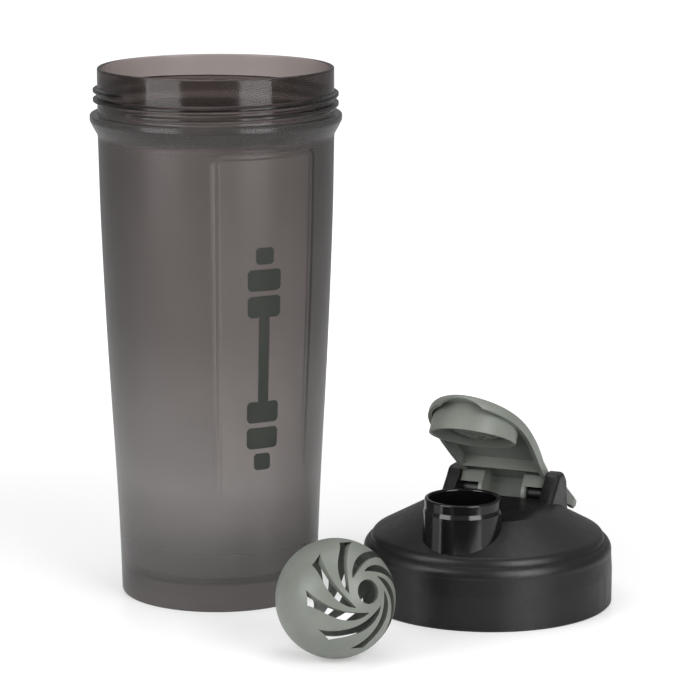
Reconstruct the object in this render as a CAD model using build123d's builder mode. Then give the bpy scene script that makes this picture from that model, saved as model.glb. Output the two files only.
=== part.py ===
"""Protein shaker bottle: cup, screw lid with a flip cap, and a two-piece mixing ball.

Millimetres, +Z up. The origin is the centre of the cup's base. The lid lies on the same
surface beside the cup with its cap open, and the ball lies in front of it.
"""
from build123d import *
import os
from math import cos, hypot, radians, sin, sqrt

os.makedirs("parts", exist_ok=True)

# Cup
CUP_HEIGHT = 204.0
NECK_RADIUS = 45.0
NECK_BOTTOM = 186.5          # top of the flange, where the lid's skirt ends
NECK_WALL = 1.5
FLANGE_RADIUS = 48.0
FLANGE_UNDER = 178.5         # where the flange starts to grow out of the body
FLANGE_COVE = (46.7, 181.4)  # radius, height
FLANGE_EDGE = 184.0
FOOT_RADIUS = 38.05
FOOT_EDGE = 0.9
FLOOR_TOP = 13.0
FLOOR_THICKNESS = 2.0
BODY_WALL = 1.8
BODY_OUTLINE = [(38.6, 21.0), (39.8, 48.8), (42.4, 97.0), (44.25, 143.0)]   # radius, height

# Grip panels, sunk into the cup's front and back
PANEL_AZIMUTHS = [-61.0, 119.0]
PANEL_WIDTH = 56.0           # degrees
PANEL_TOP = (44.1, 176.5)    # radius, height
PANEL_BOTTOM = (39.6, 45.0)
PANEL_OUTSIDE = 60.0

# Thread between cup and lid
THREAD_PITCH = 3.6
THREAD_TURNS = 2.0
CUP_THREAD_START = -137.0    # azimuth of the lower end, degrees
CUP_THREAD_LOW = 188.6
CUP_THREAD_CREST = 46.7
LID_THREAD_LOW = 4.0
LID_THREAD_RISE = -1.5       # from the bore inwards

# Lid shell, in the lid's own frame: X along the hinge, Y towards the hinge, Z up
LID_CENTRE = (103.9, -17.0)
LID_TURN = -22.5
LID_RADIUS = 48.0
LID_BORE = 46.85             # inside of the skirt
SKIRT_STRAIGHT = 13.0
SHOULDER_FOOT = (47.6, 19.6)  # radius, height
SHOULDER_MIDDLE = (47.0, 22.9)
SHOULDER_TOP = (45.8, 24.3)
GROOVE = [(45.2, 24.3), (44.9, 24.7)]
DOME_FOOT = (44.2, 26.4)
DOME_EDGE = (42.5, 27.7)
DOME_SHOULDER = (26.0, 36.7)
DOME_TURN = (22.5, 37.5)
DOME_TOP = (18.0, 37.8)
CAVITY_LINE = [(42.2, 25.3), (25.5, 34.4), (0, 35.6)]   # under the dome
SEAT_HEIGHT = 19.4           # where the gasket sits
SEAT_RADIUS = 42.2

# Drinking spout
SPOUT_BACK = -27.5           # from the lid's axis, along Y
SPOUT_TOP = 46.4
SPOUT_LIP_RADIUS = 14.4
SPOUT_STEP_RADIUS = 14.85    # just below the lip
SPOUT_STEP_HEIGHT = 41.0
SPOUT_BASE_RADIUS = 15.2
SPOUT_BORE = 12.7
LIP_ROUND = 0.7

# Hinge: two ears with stub pins, over a pocket in the dome
PIN_BACK = 20.0
PIN_HEIGHT = 38.0
PIN_RADIUS = 3.3
PIN_INNER_END = 9.9          # distance from the middle of the lid
EAR_INNER = 17.5
EAR_THICKNESS = 5.5
EAR_SIDE_VIEW = [(3.5, 27), (3.5, 33), (14.5, 43.5), (17.6, 46.9), (24.0, 46.9), (27.4, 43.2), (29.6, 27)]
EAR_CORNER = 3.6
EAR_EDGE = 1.9
POCKET_FRONT = 12.5
POCKET_BACK = 40.0
POCKET_FLOOR = 31.6
POCKET_WALL = 1.9

# Gasket
GASKET_INNER = 42.6
GASKET_OUTER = 46.8
GASKET_THICKNESS = 1.7

# Flip cap, closed, in the hinge's frame: X along the pin, Y to the back, Z up
CAP_OPEN = 36.0              # degrees that the cap stands open
COLLAR_Y = SPOUT_BACK - PIN_BACK
CAP_HINGE_HALF = 17.2
CAP_TIP_OUTLINE = [
    (17.2, -11.0), (18.4, -24.0), (19.0, -36.0), (18.7, -46.0), (16.6, -55.5), (12.2, -63.5), (6.5, -68.5), (0.0, -70.3),
]
CAP_STRAIGHT = 24.0          # length of the straight sides, centred on the pin
CAP_TAB_HALF = 20.5
CAP_TAB_SIDE = (11.2, 12.8)  # where the tab's ends start and stop, along Y
CAP_TAB_BACK = 16.6
CAP_TAB_NECK = 9.8
TAB_TIP = [(16.0, 4.6), (18.5, 4.0), (21.5, 1.8), (23.4, 1.2), (24.2, 2.6), (24.2, 4.6), (20.8, 7.9), (16.0, 7.9)]
TAB_TIP_BACK = 15.6
TAB_TIP_DEPTH = 3.6
CAP_TAPER_END = -11.0        # the sides run straight from here to the tab
CAP_TOP_ROUND = 3.2
CAP_SKIN = 1.8
CAP_SIDE = 1.5
CAP_TOP_LINE = [(-72.0, 9.6), (-47.5, 11.4), (-20.0, 11.6), (0.0, 9.7), (18.0, 7.6)]
CAP_EDGE_LINE = [(18.0, 4.5), (9.0, 4.4), (-11.0, 4.6), (-30.0, 5.6), (-72.0, 5.0)]
COLLAR_OUTER = 16.5
COLLAR_INNER = 15.35
COLLAR_FRONT_LOW = -2.3
COLLAR_BACK_LOW = 4.5
HOOK_BORE = 3.38
HOOK_OUTER = 5.4
KNUCKLE_TOP = 8.4
KNUCKLE_FRONT = [(-2.8, 8.4), (-5.3, 5.4), (-5.3, 0.44)]
PLATE_INNER = 8.1
PLATE_OUTER = 9.6
WEB_INNER = 4.6
WEB_OUTER = 7.2
WEB_HALF = 9.0               # the web joins the two plates behind the pin
WEB_HEIGHT = 10.4
BOSS_RADIUS = 4.0

# Spout seal, inside the cap's collar
SEAL_TOP_RADIUS = 12.4
SEAL_LOW_RADIUS = 11.6
SEAL_FACE_RADIUS = 10.2
SEAL_LOW = 5.2
SEAL_TOP = 8.7
BOSS_END = 6.7

# Mixing ball: two snapped halves with spiral slots
BALL_CENTRE = (45.7, -94.9, 21.8)
BALL_AXIS = (0.549, -0.768, 0.331)
BALL_SIDE = (-0.0958, 0.335, 0.937)
BALL_RADIUS = 21.8
BALL_WALL = 1.8
BALL_HUB_HOLE = 4.4
BALL_SLOT_BOTTOM = 4.0       # the slots are cut above this level of each half
BALL_SLOTS = 8
SLOT_START = 20.0            # degrees from the pole
SLOT_END = 62.0
SLOT_LEAD_SWEEP = 100.0      # how far each slot edge turns round the axis
SLOT_TRAIL_SWEEP = 83.5
SLOT_PHASE = 2.0
SLOT_STATIONS = [0.0, 0.08, 0.25, 0.5, 0.75, 1.0]
TONGUE_HEIGHT = 2.0
TONGUE_WALL = 0.85
SNAP_CLEARANCE = 0.05


def upright_plane(azimuth):
    """The plane through the Z axis that faces along an azimuth: X outwards, Y up."""
    a = radians(azimuth)
    return Plane(origin=(0, 0, 0), x_dir=(cos(a), sin(a), 0), z_dir=(sin(a), -cos(a), 0))


def thread_path_plane(height, azimuth):
    """A level plane whose X axis points at an azimuth."""
    a = radians(azimuth)
    return Plane(origin=(0, 0, height), x_dir=(cos(a), sin(a), 0), z_dir=(0, 0, 1))


def thread_section(helix, centre):
    """The plane across a thread's lower end, with X pointing away from its axis."""
    start = helix @ 0
    return Plane(start, x_dir=start - centre, z_dir=helix % 0)


def on(frame, plane):
    """A plane that is given in a frame's own axes."""
    return Plane(frame * plane.location)


def at_side(frame, side, distance):
    """The plane square to the hinge pin, a distance to one side of the middle."""
    return on(frame, Plane.YZ.offset(side * distance))


def slot_edge(sweep):
    """Points along one edge of a ball slot; sweep(t) is its turn, for t from hub to band."""
    points = []
    for t in SLOT_STATIONS:
        polar = radians(SLOT_START + (SLOT_END - SLOT_START) * t)
        turn = radians(SLOT_PHASE - sweep(t))
        points.append((BALL_RADIUS * sin(polar) * cos(turn), BALL_RADIUS * sin(polar) * sin(turn)))
    return points


LID = Location((*LID_CENTRE, 0), (0, 0, LID_TURN))
LID_AXIS = Axis((*LID_CENTRE, 0), (0, 0, 1))
SPOUT = LID * Location((0, SPOUT_BACK, 0))
SPOUT_AXIS = Axis(SPOUT.position, (0, 0, 1))
HINGE = LID * Location((0, PIN_BACK, PIN_HEIGHT))
PIN_AXIS = Axis(HINGE.position, on(HINGE, Plane.YZ).z_dir)
CAP = HINGE * Location((0, 0, 0), (-CAP_OPEN, 0, 0))
COLLAR = CAP * Location((0, COLLAR_Y, 0))
COLLAR_AXIS = Axis(COLLAR.position, on(COLLAR, Plane.XY).z_dir)


# ---- cup ------------------------------------------------------------------------------
with BuildPart() as cup:
    with BuildSketch(Plane.XZ):
        with BuildLine():
            body_top = (NECK_RADIUS, FLANGE_UNDER)
            Spline((FOOT_RADIUS, FOOT_EDGE), *BODY_OUTLINE, body_top, tangents=[(0.02, 1), (0.0, 1)])
            Line((FOOT_RADIUS - FOOT_EDGE, 0), (FOOT_RADIUS, FOOT_EDGE))
            Polyline(
                body_top,
                FLANGE_COVE,
                (FLANGE_RADIUS, FLANGE_EDGE),
                (FLANGE_RADIUS, NECK_BOTTOM),
                (NECK_RADIUS, NECK_BOTTOM),
                (NECK_RADIUS, CUP_HEIGHT),
                (NECK_RADIUS - NECK_WALL, CUP_HEIGHT),
                (NECK_RADIUS - NECK_WALL, NECK_BOTTOM),
                (NECK_RADIUS - BODY_WALL, FLANGE_UNDER),
            )
            inner_points = [(r - BODY_WALL, z) for r, z in reversed(BODY_OUTLINE)]
            inner_foot = (FOOT_RADIUS + 0.3 - BODY_WALL, FLOOR_TOP)
            inner_top = (NECK_RADIUS - BODY_WALL, FLANGE_UNDER)
            Spline(inner_top, *inner_points, inner_foot, tangents=[(0, -1), (-0.02, -1)])
            Polyline(
                inner_foot,
                (0, FLOOR_TOP),
                (0, FLOOR_TOP - FLOOR_THICKNESS),
                (FOOT_RADIUS - 1.4, FLOOR_TOP - FLOOR_THICKNESS),
                (FOOT_RADIUS - 1.6, 0),
                (FOOT_RADIUS - FOOT_EDGE, 0),
            )
        make_face()
    revolve(axis=Axis.Z)
    rim_edges = cup.edges().group_by(Axis.Z)[-1]
    fillet(rim_edges, 0.6)
    flange_edges = [e for e in cup.edges().filter_by(GeomType.CIRCLE) if abs(e.radius - FLANGE_RADIUS) < 0.01]
    fillet(flange_edges, 1.1)
    for azimuth in PANEL_AZIMUTHS:
        with BuildSketch(upright_plane(azimuth - PANEL_WIDTH / 2)):
            with BuildLine():
                Polyline(
                    PANEL_BOTTOM,
                    PANEL_TOP,
                    (PANEL_OUTSIDE, PANEL_TOP[1]),
                    (PANEL_OUTSIDE, PANEL_BOTTOM[1]),
                    close=True,
                )
            make_face()
        revolve(axis=Axis.Z, revolution_arc=PANEL_WIDTH, mode=Mode.SUBTRACT)
    with BuildLine(thread_path_plane(CUP_THREAD_LOW, CUP_THREAD_START)) as cup_helix:
        Helix(THREAD_PITCH, THREAD_PITCH * THREAD_TURNS, NECK_RADIUS)
    with BuildSketch(thread_section(cup_helix.line, Vector(0, 0, CUP_THREAD_LOW))):
        Trapezoid(2.6, CUP_THREAD_CREST - NECK_RADIUS + 0.5, 68, rotation=-90)
    sweep(path=cup_helix.line, is_frenet=True)
cup.part.label = "cup"
export_step(cup.part, "parts/cup.step")


# ---- lid shell ------------------------------------------------------------------------
with BuildPart() as lid_cavity:
    with BuildSketch(on(LID, Plane.XZ)):
        Polygon(
            (0, -1), (LID_BORE, -1), (LID_BORE, SEAT_HEIGHT), (SEAT_RADIUS, SEAT_HEIGHT),
            *CAVITY_LINE, align=None,
        )
    revolve(axis=LID_AXIS)
    with BuildSketch(on(LID, Plane.XY.offset(POCKET_FLOOR - POCKET_WALL))):
        with Locations((0, (POCKET_FRONT + POCKET_BACK) / 2)):
            Rectangle(2 * (EAR_INNER + POCKET_WALL), POCKET_BACK - POCKET_FRONT + 2 * POCKET_WALL)
    extrude(amount=10, mode=Mode.SUBTRACT)

with BuildPart() as ear:
    with BuildSketch(at_side(LID, 1, EAR_INNER)):
        Polygon(*EAR_SIDE_VIEW, align=None)
        fillet(vertices().sort_by(Axis.Y)[-4:], EAR_CORNER)
    extrude(amount=EAR_THICKNESS)
    fillet(ear.faces().sort_by(PIN_AXIS)[-1].edges(), EAR_EDGE)
    with BuildSketch(at_side(LID, 1, PIN_INNER_END)):
        with Locations((PIN_BACK, PIN_HEIGHT)):
            Circle(PIN_RADIUS)
    extrude(amount=EAR_INNER - PIN_INNER_END)

with BuildPart() as lid_shell:
    with BuildSketch(on(LID, Plane.XZ)):
        with BuildLine():
            Polyline((0, 0), (LID_RADIUS - 0.6, 0), (LID_RADIUS, 0.6), (LID_RADIUS, SKIRT_STRAIGHT), SHOULDER_FOOT)
            ThreePointArc(SHOULDER_FOOT, SHOULDER_MIDDLE, SHOULDER_TOP)
            Polyline(SHOULDER_TOP, *GROOVE)
            ThreePointArc(GROOVE[-1], DOME_FOOT, DOME_EDGE)
            Line(DOME_EDGE, DOME_SHOULDER)
            ThreePointArc(DOME_SHOULDER, DOME_TURN, DOME_TOP)
            Polyline(DOME_TOP, (0, DOME_TOP[1]), (0, 0))
        make_face()
    revolve(axis=LID_AXIS)
    with BuildSketch(on(LID, Plane.XY.offset(POCKET_FLOOR))):
        with Locations((0, (POCKET_FRONT + POCKET_BACK) / 2)):
            Rectangle(2 * EAR_INNER, POCKET_BACK - POCKET_FRONT)
    extrude(amount=10, mode=Mode.SUBTRACT)
    add(ear.part)
    mirror(ear.part, about=on(LID, Plane.YZ))
    with BuildSketch(on(SPOUT, Plane.XZ)):
        with BuildLine():
            Polyline((0, 24), (SPOUT_BASE_RADIUS, 24), (SPOUT_STEP_RADIUS, SPOUT_STEP_HEIGHT))
            Line((SPOUT_STEP_RADIUS, SPOUT_STEP_HEIGHT), (SPOUT_LIP_RADIUS, SPOUT_STEP_HEIGHT + 1.6))
            Line((SPOUT_LIP_RADIUS, SPOUT_STEP_HEIGHT + 1.6), (SPOUT_LIP_RADIUS, SPOUT_TOP - LIP_ROUND))
            JernArc((SPOUT_LIP_RADIUS, SPOUT_TOP - LIP_ROUND), (0, 1), LIP_ROUND, 90)
            Polyline((SPOUT_LIP_RADIUS - LIP_ROUND, SPOUT_TOP), (0, SPOUT_TOP), (0, 24))
        make_face()
    revolve(axis=SPOUT_AXIS)
    add(lid_cavity.part, mode=Mode.SUBTRACT)
    with BuildSketch(on(SPOUT, Plane.XZ)):
        with BuildLine():
            Polyline((0, 20), (SPOUT_BORE, 20), (SPOUT_BORE, SPOUT_TOP - LIP_ROUND))
            JernArc((SPOUT_BORE, SPOUT_TOP - LIP_ROUND), (0, 1), LIP_ROUND, -90)
            Polyline((SPOUT_BORE + LIP_ROUND, SPOUT_TOP), (0, SPOUT_TOP), (0, 20))
        make_face()
    revolve(axis=SPOUT_AXIS, mode=Mode.SUBTRACT)
    with BuildLine(on(LID, Plane.XY.offset(LID_THREAD_LOW))) as lid_helix:
        Helix(THREAD_PITCH, THREAD_PITCH * THREAD_TURNS, LID_BORE)
    with BuildSketch(thread_section(lid_helix.line, Vector(*LID_CENTRE, LID_THREAD_LOW))):
        Polygon((0.5, -1.1), (0.5, 1.1), (LID_THREAD_RISE, 0.5), (LID_THREAD_RISE, -0.5), align=None)
    sweep(path=lid_helix.line, is_frenet=True)
lid_shell.part.label = "lid_shell"
export_step(lid_shell.part, "parts/lid_shell.step")


# ---- gasket ---------------------------------------------------------------------------
with BuildPart() as lid_gasket:
    with BuildSketch(on(LID, Plane.XY.offset(SEAT_HEIGHT - GASKET_THICKNESS))):
        Circle(GASKET_OUTER)
        Circle(GASKET_INNER, mode=Mode.SUBTRACT)
    extrude(amount=GASKET_THICKNESS)
    fillet(lid_gasket.edges().group_by(Axis.Z)[0], 0.5)
lid_gasket.part.label = "lid_gasket"
export_step(lid_gasket.part, "parts/lid_gasket.step")


# ---- flip cap -------------------------------------------------------------------------
def cap_cover(inset):
    """The cap's plan without its tab: round over the spout, straight between the ears."""
    right = []
    for x, y in CAP_TIP_OUTLINE:
        forward = min(y - COLLAR_Y, 0)
        reach = hypot(x, forward)
        right.append((x - inset * x / reach, y - inset * forward / reach))
    left = [(-x, y) for x, y in reversed(right[:-1])]
    with BuildSketch(on(CAP, Plane.XY.offset(-10))) as outline:
        with BuildLine():
            Spline(*right, *left)
            Line(left[-1], right[0])
        make_face()
        Rectangle(2 * (CAP_HINGE_HALF - inset), CAP_STRAIGHT - 2 * inset)
    return outline.sketch


def cap_side_view(drop, low):
    """The cap's side view: top line lowered by drop, down to a low line."""
    top = [(y, z - drop) for y, z in CAP_TOP_LINE]
    with BuildSketch(on(CAP, Plane.YZ.offset(-30))) as view:
        with BuildLine():
            Spline(*top)
            Line(top[-1], low[0])
            Spline(*low) if len(low) > 2 else Line(*low)
            Line(low[-1], top[0])
        make_face()
    return view.sketch


with BuildPart() as cap_hollow:
    extrude(cap_cover(CAP_SIDE), amount=30, dir=COLLAR_AXIS.direction)
    below = [(18.0, -9.0), (-72.0, -9.0)]
    extrude(cap_side_view(CAP_SKIN, below), amount=60, dir=PIN_AXIS.direction, mode=Mode.INTERSECT)

with BuildPart() as collar:
    with BuildSketch(on(COLLAR, Plane.XY.offset(-5))):
        Circle(COLLAR_OUTER)
        Circle(COLLAR_INNER, mode=Mode.SUBTRACT)
    extrude(amount=20)
    with BuildSketch(on(COLLAR, Plane.YZ.offset(-20))):
        Polygon(
            (-17, COLLAR_FRONT_LOW), (17, COLLAR_BACK_LOW), (17, 10.4), (-17, 10.4), align=None,
        )
    extrude(amount=40, mode=Mode.INTERSECT)

with BuildPart() as knuckle:
    with BuildSketch(at_side(CAP, 1, PLATE_OUTER)):
        with BuildLine():
            start = (HOOK_BORE * cos(radians(126)), HOOK_BORE * sin(radians(126)))
            middle = (HOOK_BORE * cos(radians(33)), HOOK_BORE * sin(radians(33)))
            end = (HOOK_BORE * cos(radians(-60)), HOOK_BORE * sin(radians(-60)))
            tip = (HOOK_OUTER * cos(radians(-60)), HOOK_OUTER * sin(radians(-60)))
            bulge = (HOOK_OUTER * cos(radians(-30)), HOOK_OUTER * sin(radians(-30)))
            ThreePointArc(start, middle, end)
            Line(end, tip)
            ThreePointArc(tip, bulge, (HOOK_OUTER, 0))
            Polyline((HOOK_OUTER, 0), (HOOK_OUTER, KNUCKLE_TOP), *KNUCKLE_FRONT, start)
        make_face()
    extrude(amount=CAP_HINGE_HALF - PLATE_OUTER)
    with BuildSketch(at_side(CAP, 1, PLATE_INNER)):
        Circle(HOOK_OUTER)
        Polygon((-HOOK_OUTER, 0), (HOOK_OUTER, 0), (HOOK_OUTER, KNUCKLE_TOP), *KNUCKLE_FRONT, align=None)
    extrude(amount=PLATE_OUTER - PLATE_INNER)

with BuildPart() as tab_tip:
    with BuildSketch(on(CAP, Plane.XZ.offset(-TAB_TIP_BACK))):
        Polygon(*TAB_TIP, align=None)
        fillet(vertices().sort_by(Axis.X)[-6:], 0.6)
    extrude(amount=TAB_TIP_DEPTH)

with BuildPart() as cap_tab:
    with BuildSketch(on(CAP, Plane.XY.offset(-10))):
        with BuildLine():
            start, stop = CAP_TAB_SIDE
            ThreePointArc((CAP_TAB_HALF, stop), (0, CAP_TAB_BACK), (-CAP_TAB_HALF, stop))
            Polyline((-CAP_TAB_HALF, stop), (-CAP_TAB_HALF, start), (-CAP_HINGE_HALF, CAP_TAB_NECK))
            Line((-CAP_HINGE_HALF, CAP_TAB_NECK), (CAP_HINGE_HALF, CAP_TAB_NECK))
            Polyline((CAP_HINGE_HALF, CAP_TAB_NECK), (CAP_TAB_HALF, start), (CAP_TAB_HALF, stop))
        make_face()
    extrude(amount=30)

with BuildPart() as flip_cap:
    extrude(cap_cover(0), amount=30, dir=COLLAR_AXIS.direction)
    add(cap_tab.part)
    extrude(cap_side_view(0, CAP_EDGE_LINE), amount=60, dir=PIN_AXIS.direction, mode=Mode.INTERSECT)
    top_edges = flip_cap.faces().sort_by(COLLAR_AXIS)[-1].edges()
    fillet([e for e in top_edges if (CAP.inverse() * Location(e @ 0.5)).position.Y < CAP_TAPER_END], CAP_TOP_ROUND)
    add(cap_hollow.part, mode=Mode.SUBTRACT)
    add(collar.part)
    add(knuckle.part)
    mirror(knuckle.part, about=on(CAP, Plane.YZ))
    add(tab_tip.part)
    mirror(tab_tip.part, about=on(CAP, Plane.YZ))
    with BuildSketch(at_side(CAP, 1, -WEB_HALF)):
        with Locations(((WEB_INNER + WEB_OUTER) / 2, 3.2)):
            Rectangle(WEB_OUTER - WEB_INNER, WEB_HEIGHT)
    extrude(amount=2 * WEB_HALF)
    with BuildSketch(on(COLLAR, Plane.XY.offset(BOSS_END))):
        Circle(BOSS_RADIUS)
    extrude(amount=3.5)
    with BuildSketch(on(CAP, Plane.XZ.offset(64))):
        with Locations((0, 4.6)):
            Ellipse(9.0, 3.3)
    extrude(amount=10, mode=Mode.SUBTRACT)
flip_cap.part.label = "flip_cap"
export_step(flip_cap.part, "parts/flip_cap.step")


# ---- spout seal -----------------------------------------------------------------------
with BuildPart() as spout_seal:
    with BuildSketch(on(COLLAR, Plane.XZ)):
        Polygon(
            (0, SEAL_LOW), (SEAL_FACE_RADIUS, SEAL_LOW), (SEAL_LOW_RADIUS, SEAL_LOW + 1.2),
            (SEAL_TOP_RADIUS, SEAL_TOP - 0.8), (SEAL_TOP_RADIUS, SEAL_TOP), (BOSS_RADIUS + SNAP_CLEARANCE, SEAL_TOP),
            (BOSS_RADIUS + SNAP_CLEARANCE, BOSS_END - 0.1), (0, BOSS_END - 0.1), align=None,
        )
    revolve(axis=COLLAR_AXIS)
spout_seal.part.label = "spout_seal"
export_step(spout_seal.part, "parts/spout_seal.step")


# ---- mixing ball ----------------------------------------------------------------------
def on_sphere(radius, distance):
    """A point of a ball's half profile: the radius of the ball, and the distance from its axis."""
    return (distance, sqrt(radius ** 2 - distance ** 2))


def ball_shell(frame, rim):
    """Half of the ball, open at the pole, with its spiral slots; rim closes the profile's lower end."""
    inside = BALL_RADIUS - BALL_WALL
    middle = BALL_RADIUS * sin(radians(45))
    with BuildPart() as half:
        with BuildSketch(Plane(frame.origin, x_dir=frame.x_dir, z_dir=-frame.y_dir)):
            with BuildLine():
                ThreePointArc((BALL_RADIUS, 0), on_sphere(BALL_RADIUS, middle), on_sphere(BALL_RADIUS, BALL_HUB_HOLE))
                Line(on_sphere(BALL_RADIUS, BALL_HUB_HOLE), on_sphere(inside, BALL_HUB_HOLE))
                ThreePointArc(on_sphere(inside, BALL_HUB_HOLE), on_sphere(inside, middle), rim[0])
                Polyline(*rim, (BALL_RADIUS, 0))
            make_face()
        revolve(axis=Axis(frame.origin, frame.z_dir))
        for k in range(BALL_SLOTS):
            slot_place = Location((0, 0, BALL_SLOT_BOTTOM), (0, 0, k * 360 / BALL_SLOTS))
            with BuildSketch(Plane(frame.location * slot_place)):
                with BuildLine():
                    trail = slot_edge(lambda t: SLOT_TRAIL_SWEEP * (1 - (1 - t) ** 1.6))
                    lead = slot_edge(lambda t: SLOT_LEAD_SWEEP * t ** 0.4)
                    Spline(*trail)
                    Line(trail[-1], lead[-1])
                    Spline(*reversed(lead))
                make_face()
            extrude(amount=BALL_RADIUS, mode=Mode.SUBTRACT)
    return half.part


BALL_A = Plane(BALL_CENTRE, x_dir=BALL_SIDE, z_dir=BALL_AXIS)
BALL_B = Plane(BALL_CENTRE, x_dir=BALL_SIDE, z_dir=[-c for c in BALL_AXIS])

# half A ends in a tongue that snaps into the recess of half B
TONGUE_IN = BALL_RADIUS - BALL_WALL
TONGUE_OUT = TONGUE_IN + TONGUE_WALL
RECESS_OUT = TONGUE_OUT + SNAP_CLEARANCE
RECESS_DEPTH = TONGUE_HEIGHT + SNAP_CLEARANCE
RECESS_IN = sqrt(TONGUE_IN ** 2 - RECESS_DEPTH ** 2)
TONGUE_RIM = [(TONGUE_IN, 0), (TONGUE_IN, -TONGUE_HEIGHT), (TONGUE_OUT, -TONGUE_HEIGHT), (TONGUE_OUT, 0)]
RECESS_RIM = [(RECESS_IN, RECESS_DEPTH), (RECESS_OUT, RECESS_DEPTH), (RECESS_OUT, 0)]

with BuildPart() as ball_half_a:
    add(ball_shell(BALL_A, TONGUE_RIM))
ball_half_a.part.label = "ball_half_a"
export_step(ball_half_a.part, "parts/ball_half_a.step")

with BuildPart() as ball_half_b:
    add(ball_shell(BALL_B, RECESS_RIM))
ball_half_b.part.label = "ball_half_b"
export_step(ball_half_b.part, "parts/ball_half_b.step")
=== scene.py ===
"""Protein shaker bottle: smoke-grey cup, screw lid with its flip cap open, and a mixing ball."""
from math import pi, radians

import bpy
import numpy as np
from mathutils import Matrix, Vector


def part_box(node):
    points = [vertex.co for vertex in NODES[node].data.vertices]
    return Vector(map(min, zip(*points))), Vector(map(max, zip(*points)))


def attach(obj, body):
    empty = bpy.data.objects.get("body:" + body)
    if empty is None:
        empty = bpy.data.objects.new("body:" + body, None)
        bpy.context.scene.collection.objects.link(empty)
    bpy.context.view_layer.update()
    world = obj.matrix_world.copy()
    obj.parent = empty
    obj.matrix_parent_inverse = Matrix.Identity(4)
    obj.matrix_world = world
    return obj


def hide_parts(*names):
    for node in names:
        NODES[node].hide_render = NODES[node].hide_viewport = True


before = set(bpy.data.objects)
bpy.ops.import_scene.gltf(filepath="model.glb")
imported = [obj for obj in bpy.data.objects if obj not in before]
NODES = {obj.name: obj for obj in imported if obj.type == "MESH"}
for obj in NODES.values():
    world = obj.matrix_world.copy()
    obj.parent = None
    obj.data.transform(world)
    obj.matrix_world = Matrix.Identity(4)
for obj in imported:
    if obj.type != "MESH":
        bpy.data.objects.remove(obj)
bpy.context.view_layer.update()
MM = 0.001

# Cup outline, in millimetres: radius and height
CUP_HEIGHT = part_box("cup")[1][2] / MM
NECK_RADIUS = 45.0
NECK_WALL = 1.5
BODY_WALL = 1.8
FLANGE_UNDER = 178.5
FLANGE_EDGE = 184.0
FLANGE_RADIUS = 48.0
NECK_BOTTOM = 186.5
NECK_FILLET_END = NECK_BOTTOM + 0.4
FOOT_RADIUS = 38.05
BODY_OUTLINE = [
    (38.05, 0.9), (38.6, 21.0), (39.8, 48.8), (42.4, 97.0), (44.25, 143.0), (44.95, 175.0),
]
FLOOR_TOP = 13.0
FLOOR_UNDER = 11.0
POLE_RADIUS = 1.0                 # the small flat face that closes each floor at the axis
CURVE_STEPS = 12                  # steps between two points of a smooth curve

# Grip panels. Each step: how far the wall sinks, and where that starts and ends inside the border.
# The second one is a rise, so that a low ridge runs round inside the border.
PANEL_MIDDLES = (-61.0, 119.0)    # azimuth, degrees
PANEL_HALF = 28.2                 # half width, degrees
PANEL_TOP = 176.3
PANEL_LOW = 41.0                  # the panel has faded out here
PANEL_FADE = 62.0                 # and is at full depth from here up
PANEL_CORNER = 3.8
PANEL_STEPS = [(0.95, 0.0, 0.35), (-0.35, 0.45, 1.2), (0.45, 2.1, 2.45)]
PANEL_RADIUS = 44.9
OUTSIDE_RADIUS = 37.0             # the foot's recess is nearer to the axis than this

# Mesh spacing on the cup, in millimetres along its outline and degrees round it
STEP_THREAD = 0.28
STEP_PANEL_TOP = 0.22
STEP_WALL = 2.5
STEP_FLOOR = 8.0
COLUMN_FINE = 0.2
COLUMN_COARSE = 1.6
COLUMN_FINE_REACH = 3.2
BORDER_INSET = 2.0                # the middle of the fine columns, inside the panel's edge

# Thread
THREAD_PITCH = 3.6
THREAD_TURNS = 2.0
THREAD_START = -137.0             # azimuth of the lower end
THREAD_LOW = 188.6
THREAD_RISE = 1.7
THREAD_HALF_WIDTH = 1.25
THREAD_FLAT = 0.42                # share of the half width that is the crest
THREAD_TAPER = 0.035              # turns over which each end tapers out

# Mould seam on the neck
SEAM_AZIMUTH = -60.0
SEAM_RISE = 0.10
SEAM_WIDTH = 0.5                  # degrees

# Smoke plastic: (height in millimetres, value) along the cup
SMOKE_ROUGHNESS = [(0, 0.24), (40, 0.30), (174, 0.30), (180, 0.20), (190, 0.14)]
# Base colour along the height: painted light on the lower body, where light bounces inside the cup,
# and painted shade below the inner floor; the neck is clearer
SMOKE_TINT_AND_PAINTED_LIGHT = [
    (0, 0.58), (11, 0.58), (15, 0.80), (48, 1.0), (100, 0.86), (165, 0.80), (186, 0.90), (196, 0.95),
]
SMOKE_CLEARNESS = [
    (0, 0.87), (20, 0.87), (48, 0.80), (110, 0.91), (170, 0.93), (186, 0.93), (192, 0.99),
]
SMOKE_DARK = (0.73, 0.705, 0.69)
SMOKE_LIGHT = (0.78, 0.755, 0.74)
SMOKE_IOR = 1.33
SMOKE_ABSORPTION = (0.277, 0.20, 0.19, 1)
SMOKE_DENSITY = 880.0

# Printed mark: a dumbbell on the front panel
PRINT_AZIMUTH = -63.2
PRINT_MIDDLE = 98.0
PRINT_PROUD = 0.07
PRINT_SUNK = 0.04
PRINT_ROWS = 17
PRINT_COLUMNS = 13
PRINT_BAR = (0, 4.6, 33.5, 0.8)   # middle (up from PRINT_MIDDLE), width, height, corner radius
PRINT_WEIGHTS = [(20.3, 14.2, 8.2, 1.8), (30.4, 14.2, 8.2, 1.8), (39.6, 7.6, 6.4, 1.6)]

# Lid
LID_CENTRE = (103.9, -17.0)
LID_TURN = -22.5                  # degrees
SPOUT_BACK = -27.5
SPOUT_RADIUS = 15.35
SPOUT_FOOT = 25.0
SHARP_ANGLE = 32                  # degrees

# Ball
BALL_EDGE = 0.45
BALL_EDGE_SEGMENTS = 2
BALL_EDGE_ANGLE = 38              # degrees

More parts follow.
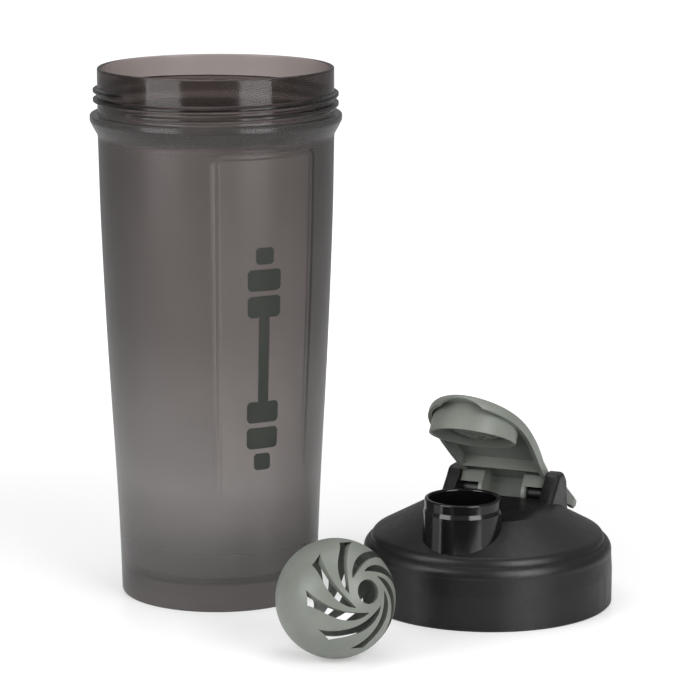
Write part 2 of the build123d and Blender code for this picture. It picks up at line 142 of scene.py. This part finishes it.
# Stage, in metres
FLOOR_SIDE = 6.0
FLOOR_FRONT = -0.18
FLOOR_BACK = 6.0
FLOOR_DARK = (0.90, 0.90, 0.90)
FLOOR_LIGHT = (0.91, 0.91, 0.91)
FLOOR_GLOW_START = 0.12           # distance from the cup's axis
FLOOR_GLOW_END = 0.55
FLOOR_GLOW_NEAR = 0.30
FLOOR_GLOW_FAR = 0.78
WORLD_SEEN = 1.0
WORLD_AMBIENT = 0.38
WORLD_BELOW = 0.2                 # share of the ambient light that comes from below the horizon
CAMERA_PLACE = (0.050957, -1.215672, 0.339799)
CAMERA_DOWN = 0.19935             # radians below level
CAMERA_LENS = 165.2
CAMERA_SENSOR = 36.0


# ---- mesh helpers ---------------------------------------------------------------------
def new_piece(name, vertices, faces, material, smooth=True):
    """A mesh object in the row frame; vertices are in millimetres."""
    mesh = bpy.data.meshes.new(name)
    mesh.from_pydata([tuple(float(c) * MM for c in v) for v in vertices], [], faces)
    mesh.validate()
    if smooth:
        mesh.shade_smooth()
    mesh.materials.append(material)
    piece = bpy.data.objects.new(name, mesh)
    bpy.context.scene.collection.objects.link(piece)
    return piece


def ring_faces(rows, columns, offset=0):
    """Quads between stacked closed rings of vertices."""
    faces = []
    for i in range(rows - 1):
        for j in range(columns):
            k = (j + 1) % columns
            a = offset + i * columns
            b = a + columns
            faces.append((a + j, a + k, b + k, b + j))
    return faces


def rounded_path(corners, arc_step=12.0):
    """A polyline through corners (x, y, radius), with an arc at each that has a radius."""
    path = []
    for i, (x, y, radius) in enumerate(corners):
        p = np.array((x, y), float)
        if radius == 0 or i in (0, len(corners) - 1):
            path.append(p)
            continue
        before = np.array(corners[i - 1][:2], float) - p
        after = np.array(corners[i + 1][:2], float) - p
        u = before / np.linalg.norm(before)
        v = after / np.linalg.norm(after)
        half = np.arccos(np.clip(np.dot(u, v), -1, 1)) / 2
        reach = radius / np.tan(half)
        middle = (u + v) / np.linalg.norm(u + v)
        centre = p + middle * radius / np.sin(half)
        start = p + u * reach - centre
        sweep = pi - 2 * half
        turn = np.sign(u[0] * v[1] - u[1] * v[0]) * -1
        steps = max(2, int(np.ceil(np.degrees(sweep) / arc_step)))
        for s in range(steps + 1):
            a = turn * sweep * s / steps
            c, d = np.cos(a), np.sin(a)
            path.append(centre + np.array((start[0] * c - start[1] * d, start[0] * d + start[1] * c)))
    return path


def smooth_curve(points, count):
    """A Catmull-Rom curve through points, with count steps between each pair."""
    p = [np.array(q, float) for q in points]
    p = [2 * p[0] - p[1], *p, 2 * p[-1] - p[-2]]
    curve = []
    for i in range(1, len(p) - 2):
        for s in range(count):
            t = s / count
            curve.append(
                0.5 * (2 * p[i] + (p[i + 1] - p[i - 1]) * t
                       + (2 * p[i - 1] - 5 * p[i] + 4 * p[i + 1] - p[i + 2]) * t ** 2
                       + (3 * p[i] - p[i - 1] - 3 * p[i + 1] + p[i + 2]) * t ** 3)
            )
    curve.append(p[-2])
    return curve


def divided(path, step):
    """The path with its long stretches cut to at most step(point)."""
    result = [path[0]]
    for a, b in zip(path, path[1:]):
        count = max(1, int(np.ceil(np.linalg.norm(b - a) / step((a + b) / 2))))
        result.extend(a + (b - a) * s / count for s in range(1, count + 1))
    return result


def ramp(value, low, high):
    """0 below low, 1 above high, smooth between."""
    t = np.clip((value - low) / (high - low), 0, 1)
    return t * t * (3 - 2 * t)


# ---- materials ------------------------------------------------------------------------
def material(name):
    """A new node material: (material, nodes, links, Principled shader, object coordinates)."""
    mat = bpy.data.materials.new(name)
    mat.use_nodes = True
    nodes, links = mat.node_tree.nodes, mat.node_tree.links
    shader = nodes["Principled BSDF"]
    place = nodes.new("ShaderNodeTexCoord")
    return mat, nodes, links, shader, place.outputs["Object"]


def noise(nodes, links, place, scale, detail=3.0):
    """A noise texture at a scale in repeats per metre."""
    texture = nodes.new("ShaderNodeTexNoise")
    texture.inputs["Scale"].default_value = scale
    texture.inputs["Detail"].default_value = detail
    texture.inputs["Roughness"].default_value = 0.55
    links.new(place, texture.inputs["Vector"])
    return texture.outputs["Fac"]


def spread(nodes, links, value, low, high):
    """The value, from about 0.3 to 0.7, stretched to low to high."""
    change = nodes.new("ShaderNodeMapRange")
    change.inputs["From Min"].default_value = 0.3
    change.inputs["From Max"].default_value = 0.7
    change.inputs["To Min"].default_value = low
    change.inputs["To Max"].default_value = high
    links.new(value, change.inputs["Value"])
    return change.outputs["Result"]


def two_tone(nodes, links, value, dark, light):
    """A colour that goes from dark to light with the value."""
    tones = nodes.new("ShaderNodeValToRGB")
    tones.color_ramp.elements[0].position = 0.35
    tones.color_ramp.elements[0].color = (*dark, 1)
    tones.color_ramp.elements[1].position = 0.65
    tones.color_ramp.elements[1].color = (*light, 1)
    links.new(value, tones.inputs["Fac"])
    return tones.outputs["Color"]


def bump(nodes, links, shader, height, distance):
    """Relief of a height, in metres, on the shader's normal."""
    relief = nodes.new("ShaderNodeBump")
    relief.inputs["Distance"].default_value = distance
    relief.inputs["Strength"].default_value = 1.0
    links.new(height, relief.inputs["Height"])
    links.new(relief.outputs["Normal"], shader.inputs["Normal"])


def moulded_plastic(name, dark, light, rough_low, rough_high, grain, relief, specular=0.5):
    """Opaque injection-moulded plastic: faint mottling, a fine grain and uneven gloss."""
    mat, nodes, links, shader, place = material(name)
    mottle = noise(nodes, links, place, 60.0)
    fine = noise(nodes, links, place, grain, 2.0)
    links.new(two_tone(nodes, links, mottle, dark, light), shader.inputs["Base Color"])
    uneven = noise(nodes, links, place, 220.0)
    links.new(spread(nodes, links, uneven, rough_low, rough_high), shader.inputs["Roughness"])
    shader.inputs["Specular IOR Level"].default_value = specular
    bump(nodes, links, shader, fine, relief)
    return mat


def along_height(nodes, links, place, stops):
    """A value that follows the height: stops are (height in millimetres, value)."""
    split = nodes.new("ShaderNodeSeparateXYZ")
    links.new(place, split.inputs["Vector"])
    scale = nodes.new("ShaderNodeMapRange")
    scale.inputs["From Max"].default_value = CUP_HEIGHT * MM
    links.new(split.outputs["Z"], scale.inputs["Value"])
    tones = nodes.new("ShaderNodeValToRGB")
    ends = tones.color_ramp.elements
    while len(ends) < len(stops):
        ends.new(0.5)
    for end, (height, value) in zip(ends, stops):
        end.position = height / CUP_HEIGHT
        end.color = (value, value, value, 1)
    links.new(scale.outputs["Result"], tones.inputs["Fac"])
    return tones.outputs["Color"]


def smoke_plastic():
    """Frosted translucent polypropylene, clearer and glossier on the neck; its base colour carries
    painted light on the lower body and painted shade below the inner floor.
    """
    mat, nodes, links, shader, place = material("smoke_plastic")
    links.new(along_height(nodes, links, place, SMOKE_ROUGHNESS), shader.inputs["Roughness"])
    tint_with_painted_light = nodes.new("ShaderNodeMix")
    tint_with_painted_light.data_type = "RGBA"
    tint_with_painted_light.blend_type = "MULTIPLY"
    tint_with_painted_light.inputs["Factor"].default_value = 1.0
    mottle = two_tone(nodes, links, noise(nodes, links, place, 25.0), SMOKE_DARK, SMOKE_LIGHT)
    links.new(mottle, tint_with_painted_light.inputs[6])
    # The base colour is multiplied by painted light on the lower body and painted shade below the
    # inner floor
    links.new(along_height(nodes, links, place, SMOKE_TINT_AND_PAINTED_LIGHT), tint_with_painted_light.inputs[7])
    links.new(tint_with_painted_light.outputs[2], shader.inputs["Base Color"])
    links.new(along_height(nodes, links, place, SMOKE_CLEARNESS), shader.inputs["Transmission Weight"])
    shader.inputs["IOR"].default_value = SMOKE_IOR
    absorb = nodes.new("ShaderNodeVolumeAbsorption")
    absorb.inputs["Color"].default_value = SMOKE_ABSORPTION
    absorb.inputs["Density"].default_value = SMOKE_DENSITY
    links.new(absorb.outputs["Volume"], nodes["Material Output"].inputs["Volume"])
    return mat


SMOKE = smoke_plastic()
BLACK = moulded_plastic(
    "lid_black", (0.004, 0.004, 0.0045), (0.0065, 0.0065, 0.0075), 0.32, 0.42, 1500.0, 0.00006, 0.42)
GLOSS = moulded_plastic(
    "lid_gloss", (0.003, 0.003, 0.0035), (0.005, 0.005, 0.0055), 0.10, 0.16, 400.0, 0.000005)
GREY_GREEN = moulded_plastic(
    "grey_green", (0.170, 0.184, 0.162), (0.196, 0.211, 0.187), 0.34, 0.44, 1500.0, 0.00002)
SEAL = moulded_plastic(
    "seal_silicone", (0.18, 0.195, 0.17), (0.21, 0.225, 0.20), 0.22, 0.30, 900.0, 0.00001)
GASKET = moulded_plastic(
    "gasket_silicone", (0.012, 0.012, 0.012), (0.018, 0.018, 0.018), 0.4, 0.5, 900.0, 0.00001)
INK = moulded_plastic(
    "print_ink", (0.030, 0.033, 0.028), (0.038, 0.041, 0.035), 0.4, 0.5, 1200.0, 0.00001, 0.25)


# ---- cup ------------------------------------------------------------------------------
def cup_profile():
    """The cup's section, from the middle of the foot's recess, out, up and back to the inner floor."""
    foot = rounded_path([
        (POLE_RADIUS, FLOOR_UNDER, 0), (FOOT_RADIUS - 1.9, FLOOR_UNDER, 1.2),
        (FOOT_RADIUS - 1.6, 0, 0.3), (FOOT_RADIUS - 0.35, 0, 0.3), BODY_OUTLINE[0] + (0,),
    ])
    body = smooth_curve(BODY_OUTLINE, CURVE_STEPS)
    collar = rounded_path([
        BODY_OUTLINE[-1] + (0,), (45.05, FLANGE_UNDER, 3.5), (46.7, FLANGE_UNDER + 2.9, 4.0),
        (FLANGE_RADIUS, FLANGE_EDGE, 0.8), (FLANGE_RADIUS, NECK_BOTTOM, 0.9),
        (NECK_RADIUS, NECK_BOTTOM, 0.5), (NECK_RADIUS, CUP_HEIGHT, 0.7),
        (NECK_RADIUS - NECK_WALL, CUP_HEIGHT, 0.7), (NECK_RADIUS - NECK_WALL, NECK_BOTTOM, 6.0),
        (NECK_RADIUS - BODY_WALL, FLANGE_UNDER, 0),
    ])
    inner = smooth_curve([(r - BODY_WALL, z) for r, z in reversed(BODY_OUTLINE[1:])], CURVE_STEPS)
    floor = rounded_path([
        (BODY_OUTLINE[1][0] - BODY_WALL, BODY_OUTLINE[1][1], 0),
        (FOOT_RADIUS - 1.7, FLOOR_TOP, 1.0), (POLE_RADIUS, FLOOR_TOP, 0),
    ])

    def step(p):
        if NECK_BOTTOM + 1 < p[1] < NECK_BOTTOM + 12 and p[0] > NECK_RADIUS - 0.2:
            return STEP_THREAD
        if PANEL_TOP - 8 < p[1] < PANEL_TOP + 1 and p[0] > 43:
            return STEP_PANEL_TOP
        return STEP_WALL if p[0] > 30 else STEP_FLOOR

    lower = divided(foot + body[1:], step)
    upper = divided([body[-1]] + collar[1:], step)[1:]
    inside = divided(inner + floor[1:], step)
    return np.array(lower + upper + inside[1:])


def cup_azimuths():
    """Azimuths of the cup's columns, closer together where the panels' borders are."""
    reach = PANEL_HALF - BORDER_INSET
    fine = [middle + side * reach for middle in PANEL_MIDDLES for side in (-1, 1)]
    azimuths = []
    a = -180.0
    while a < 180.0 - 1e-6:
        azimuths.append(a)
        near = min(abs((a - f + 180) % 360 - 180) for f in fine)
        a += COLUMN_FINE if near < COLUMN_FINE_REACH else COLUMN_COARSE
    return np.array(azimuths)


def panel_depth(azimuth, z):
    """How far a grip panel sinks into the wall; its outline has rounded upper corners."""
    depth = np.zeros(np.broadcast(azimuth, z).shape)
    for middle in PANEL_MIDDLES:
        across = np.abs((azimuth - middle + 180) % 360 - 180)
        dx = radians(1) * PANEL_RADIUS * (across - PANEL_HALF) + PANEL_CORNER
        dy = z - (PANEL_TOP - PANEL_CORNER)
        edge = np.hypot(np.maximum(dx, 0), np.maximum(dy, 0))
        edge = edge + np.minimum(np.maximum(dx, dy), 0) - PANEL_CORNER
        for rise, start, end in PANEL_STEPS:
            depth += rise * ramp(-edge, start, end) * ramp(z, PANEL_LOW, PANEL_FADE)
    return depth


def thread_height(azimuth, z):
    """The thread's rise from the neck, with tapered ends."""
    rise = np.zeros(np.broadcast(azimuth, z).shape)
    for turn in range(int(THREAD_TURNS) + 1):
        along = (azimuth - THREAD_START) % 360 / 360 + turn
        middle = THREAD_LOW + THREAD_PITCH * along
        ends = ramp(along, 0.0, THREAD_TAPER) * ramp(THREAD_TURNS - along, 0.0, THREAD_TAPER)
        offset = np.abs(z - middle) / THREAD_HALF_WIDTH
        rise += THREAD_RISE * ends * (1 - ramp(offset, THREAD_FLAT, 1.0))
    return rise


def build_cup():
    """The cup as one closed skin."""
    path = cup_profile()
    azimuths = cup_azimuths()
    top = int(np.argmax(path[:, 1]))
    rows, columns = len(path), len(azimuths)
    r = np.repeat(path[:, :1], columns, axis=1)
    z = np.repeat(path[:, 1:], columns, axis=1)
    outside = (np.arange(rows) < top)[:, None] & (r > OUTSIDE_RADIUS)
    azimuth = azimuths[None, :]
    r = r - np.where(outside & (z > 1), panel_depth(azimuth, z), 0)
    r = r + np.where(outside & (z > NECK_FILLET_END), thread_height(azimuth, z), 0)
    seam = SEAM_RISE * np.exp(-(((azimuth - SEAM_AZIMUTH) / SEAM_WIDTH) ** 2))
    r = r + np.where(outside & (z > NECK_FILLET_END) & (z < CUP_HEIGHT - 1), seam, 0)
    a = np.radians(azimuth)
    vertices = np.stack([r * np.cos(a), r * np.sin(a), z], axis=-1).reshape(-1, 3)
    faces = ring_faces(rows, columns)
    faces.append(tuple(range(columns - 1, -1, -1)))
    faces.append(tuple((rows - 1) * columns + j for j in range(columns)))
    cup = new_piece("cup_wall", vertices, faces, SMOKE)
    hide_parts("cup")
    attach(cup, "cup_body")


build_cup()


# ---- print on the front panel ---------------------------------------------------------
def wall_radius(azimuth, z):
    """The radius of the cup's outside below the flange."""
    outline = np.array(smooth_curve(BODY_OUTLINE, CURVE_STEPS))
    wall = np.interp(z, outline[:, 1], outline[:, 0])
    return wall - panel_depth(np.array(azimuth), np.array(z))


def print_patch(middle, width, height, corner):
    """A rounded rectangle that lies on the panel: vertices and faces of a closed thin slab."""
    rows = np.cos(np.linspace(pi, 0, PRINT_ROWS)) * height / 2
    columns = np.linspace(-1, 1, PRINT_COLUMNS)
    over = np.maximum(np.abs(rows) - (height / 2 - corner), 0)
    half = width / 2 - corner + np.sqrt(np.maximum(corner ** 2 - over ** 2, 0))
    vertices = []
    for lift in (-PRINT_SUNK, PRINT_PROUD):
        for v, reach in zip(rows, half):
            z = PRINT_MIDDLE + middle + v
            for u in columns * max(reach, 0.05):
                azimuth = PRINT_AZIMUTH + np.degrees(u / PANEL_RADIUS)
                r = float(wall_radius(azimuth, z)) + lift
                vertices.append((r * np.cos(radians(azimuth)), r * np.sin(radians(azimuth)), z))
    nr, nc = len(rows), len(columns)
    faces = []
    for layer, flip in ((0, True), (nr * nc, False)):
        for i in range(nr - 1):
            for j in range(nc - 1):
                a = layer + i * nc + j
                quad = (a, a + 1, a + nc + 1, a + nc)
                faces.append(quad[::-1] if flip else quad)
    rim = [
        *range(nc), *[i * nc + nc - 1 for i in range(1, nr)],
        *[(nr - 1) * nc + j for j in range(nc - 2, -1, -1)], *[i * nc for i in range(nr - 2, 0, -1)],
    ]
    for a, b in zip(rim, rim[1:] + rim[:1]):
        faces.append((a, b, b + nr * nc, a + nr * nc))
    return vertices, faces


def build_print():
    """A dumbbell pictogram, upright on the panel."""
    shapes = [PRINT_BAR]
    for end in (-1, 1):
        shapes += [(middle * end, *rest) for middle, *rest in PRINT_WEIGHTS]
    vertices, faces = [], []
    for middle, width, height, corner in shapes:
        more, quads = print_patch(middle, width, height, corner)
        faces.extend(tuple(k + len(vertices) for k in quad) for quad in quads)
        vertices.extend(more)
    mark = new_piece("panel_print", vertices, faces, INK, smooth=False)
    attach(mark, "cup_body")


build_print()


# ---- carried-over CAD nodes -----------------------------------------------------------
FINISHES = {
    "lid_shell": BLACK, "lid_gasket": GASKET, "flip_cap": GREY_GREEN, "spout_seal": SEAL,
    "ball_half_a": GREY_GREEN, "ball_half_b": GREY_GREEN,
}
for node, finish in FINISHES.items():
    mesh = NODES[node].data
    mesh.materials.clear()
    mesh.materials.append(finish)
    mesh.shade_smooth()
    mesh.set_sharp_from_angle(angle=radians(SHARP_ANGLE))


def gloss_spout():
    """The spout is polished; the rest of the lid has a fine texture."""
    mesh = NODES["lid_shell"].data
    mesh.materials.append(GLOSS)
    middle = np.zeros(len(mesh.polygons) * 3)
    mesh.polygons.foreach_get("center", middle)
    x, y, z = (middle.reshape(-1, 3) / MM).T
    x, y = x - LID_CENTRE[0], y - LID_CENTRE[1]
    turn = radians(LID_TURN)
    p, s = x * np.cos(turn) + y * np.sin(turn), y * np.cos(turn) - x * np.sin(turn)
    spout = (np.hypot(p, s - SPOUT_BACK) < SPOUT_RADIUS) & (z > SPOUT_FOOT)
    mesh.polygons.foreach_set("material_index", spout.astype(int))


gloss_spout()

for node in ("ball_half_a", "ball_half_b"):
    soften = NODES[node].modifiers.new("soft_edges", "BEVEL")
    soften.width = BALL_EDGE * MM
    soften.segments = BALL_EDGE_SEGMENTS
    soften.limit_method = "ANGLE"
    soften.angle_limit = radians(BALL_EDGE_ANGLE)


# ---- floor, light and camera ----------------------------------------------------------
def seen_or_seen_through(nodes, links):
    """1 for a camera ray, straight or through the clear plastic, and 0 for light and reflections."""
    rays = nodes.new("ShaderNodeLightPath")
    either = nodes.new("ShaderNodeMath")
    either.operation = "MAXIMUM"
    links.new(rays.outputs["Is Camera Ray"], either.inputs[0])
    links.new(rays.outputs["Is Transmission Ray"], either.inputs[1])
    return either.outputs["Value"]


def add_floor():
    """A plain white floor, with a glow that grows with distance so that it meets the background."""
    mesh = bpy.data.meshes.new("floor")
    near = [(-FLOOR_SIDE, FLOOR_FRONT, 0), (FLOOR_SIDE, FLOOR_FRONT, 0)]
    far_side = [(FLOOR_SIDE, FLOOR_BACK, 0), (-FLOOR_SIDE, FLOOR_BACK, 0)]
    mesh.from_pydata(near + far_side, [], [(0, 1, 2, 3)])
    mat, nodes, links, shader, place = material("floor_white")
    tone = two_tone(nodes, links, noise(nodes, links, place, 3.0), FLOOR_DARK, FLOOR_LIGHT)
    links.new(tone, shader.inputs["Base Color"])
    shader.inputs["Roughness"].default_value = 0.22
    shader.inputs["Specular IOR Level"].default_value = 0.4
    shader.inputs["Emission Color"].default_value = (1, 1, 1, 1)
    far = nodes.new("ShaderNodeVectorMath")
    far.operation = "LENGTH"
    links.new(place, far.inputs[0])
    glow = nodes.new("ShaderNodeMapRange")
    glow.interpolation_type = "SMOOTHSTEP"
    glow.inputs["From Min"].default_value = FLOOR_GLOW_START
    glow.inputs["From Max"].default_value = FLOOR_GLOW_END
    glow.inputs["To Min"].default_value = FLOOR_GLOW_NEAR
    glow.inputs["To Max"].default_value = FLOOR_GLOW_FAR
    links.new(far.outputs["Value"], glow.inputs["Value"])
    seen = nodes.new("ShaderNodeMath")
    seen.operation = "MULTIPLY"
    links.new(glow.outputs["Result"], seen.inputs[0])
    links.new(seen_or_seen_through(nodes, links), seen.inputs[1])
    links.new(seen.outputs["Value"], shader.inputs["Emission Strength"])
    mesh.materials.append(mat)
    floor = bpy.data.objects.new("floor", mesh)
    bpy.context.scene.collection.objects.link(floor)


def add_softbox(name, place, target, width, height, power):
    """A rectangular area light that faces a target point."""
    light = bpy.data.lights.new(name, "AREA")
    light.shape = "RECTANGLE"
    light.size = width
    light.size_y = height
    light.energy = power
    lamp = bpy.data.objects.new(name, light)
    lamp.location = place
    lamp.rotation_euler = (Vector(target) - Vector(place)).to_track_quat("-Z", "Y").to_euler()
    bpy.context.scene.collection.objects.link(lamp)


def add_world(seen, ambient):
    """A white studio: bright where it is seen or seen through; dimmer as a light, and dark below."""
    world = bpy.data.worlds.new("studio")
    world.use_nodes = True
    nodes, links = world.node_tree.nodes, world.node_tree.links
    back = nodes["Background"]
    back.inputs["Color"].default_value = (1, 1, 1, 1)
    place = nodes.new("ShaderNodeTexCoord")
    split = nodes.new("ShaderNodeSeparateXYZ")
    links.new(place.outputs["Generated"], split.inputs["Vector"])
    rise = nodes.new("ShaderNodeMapRange")
    rise.inputs["From Min"].default_value = -0.05
    rise.inputs["From Max"].default_value = 0.25
    rise.inputs["To Min"].default_value = ambient * WORLD_BELOW
    rise.inputs["To Max"].default_value = ambient
    links.new(split.outputs["Z"], rise.inputs["Value"])
    strength = nodes.new("ShaderNodeMapRange")
    links.new(rise.outputs["Result"], strength.inputs["To Min"])
    strength.inputs["To Max"].default_value = seen
    links.new(seen_or_seen_through(nodes, links), strength.inputs["Value"])
    links.new(strength.outputs["Result"], back.inputs["Strength"])
    bpy.context.scene.world = world


def add_camera():
    """The camera: higher than the cup and looking a little down, with no depth of field."""
    camera = bpy.data.cameras.new("camera")
    camera.sensor_width = CAMERA_SENSOR
    camera.lens = CAMERA_LENS
    camera.clip_end = 20.0
    eye = bpy.data.objects.new("camera", camera)
    eye.location = CAMERA_PLACE
    eye.rotation_euler = (pi / 2 - CAMERA_DOWN, 0, 0)
    bpy.context.scene.collection.objects.link(eye)
    bpy.context.scene.camera = eye


add_floor()
add_world(WORLD_SEEN, WORLD_AMBIENT)
add_softbox("softbox_left", (-0.48, -0.42, 0.30), (0.0, 0.0, 0.15), 0.44, 0.5, 3.1)
add_softbox("softbox_right", (0.42, -0.50, 0.30), (0.06, 0.0, 0.12), 0.38, 0.5, 3.2)
add_softbox("softbox_top", (0.05, 0.15, 0.95), (0.05, -0.03, 0.0), 0.9, 0.7, 2.7)
add_camera()
bpy.context.scene.view_settings.view_transform = "Standard"
